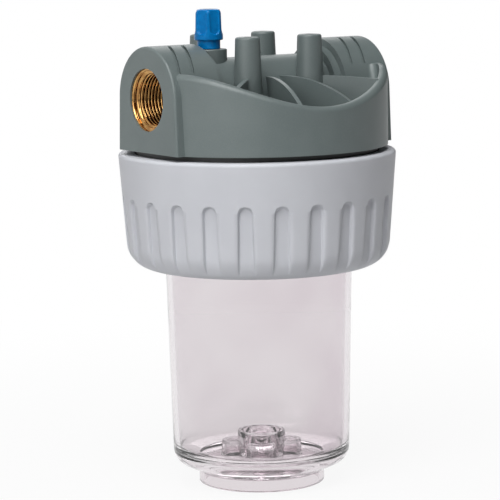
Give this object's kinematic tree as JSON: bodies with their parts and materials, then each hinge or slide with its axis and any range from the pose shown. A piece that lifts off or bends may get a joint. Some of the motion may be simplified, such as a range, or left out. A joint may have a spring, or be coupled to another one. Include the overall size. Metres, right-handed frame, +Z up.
{
  "type": "water filter housing",
  "caption": "In-line water filter housing with a ported head, a fluted lock ring, a clear bowl and a vent screw on top.",
  "frame": {"origin": "centre of the face that the bowl's foot stands on", "axes": "+Z up from the foot to the vent screw, X along the ports with the inlet on -X and the outlet on +X, -Y towards the viewer of the front"},
  "size_m": [0.134, 0.134, 0.231],
  "materials": {
    "head_plastic": "matte",
    "port_brass": "polished",
    "ring_plastic": "satin",
    "bowl_clear": "clear",
    "seal_rubber": "matte",
    "vent_plastic": "gloss"
  },
  "bodies": {
    "head": {"head": "head_plastic", "inlet_insert": "port_brass", "outlet_insert": "port_brass"},
    "bowl": {"bowl": "bowl_clear", "bowl_o_ring": "seal_rubber"},
    "lock_ring": {"lock_ring": "ring_plastic"},
    "vent_seal": {"vent_o_ring": "seal_rubber"},
    "vent_screw": {"vent_screw": "vent_plastic"}
  },
  "joints": [
    {"name": "bowl_drop", "type": "slide", "parent": "head", "child": "bowl", "axis": [0, 0, -1], "range_m": [0, 0.01751]},
    {"name": "ring_turn", "type": "hinge", "parent": "bowl", "child": "lock_ring", "pos_m": [0, 0, 0.1], "axis": [0, 0, -1], "range_deg": [0, 1260]},
    {"name": "vent_rise", "type": "slide", "parent": "head", "child": "vent_seal", "axis": [0, 0, 1], "range_m": [0, 0.0025]},
    {"name": "vent_turn", "type": "hinge", "parent": "vent_seal", "child": "vent_screw", "pos_m": [-0.0267, 0, 0.2], "axis": [0, 0, 1], "range_deg": [0, 900.5]}
  ],
  "couplings": [
    {"joint": "bowl_drop", "follows": "ring_turn", "m_per_rad": 0.00079577},
    {"joint": "vent_turn", "follows": "vent_rise", "rad_per_m": 6283.2}
  ]
}
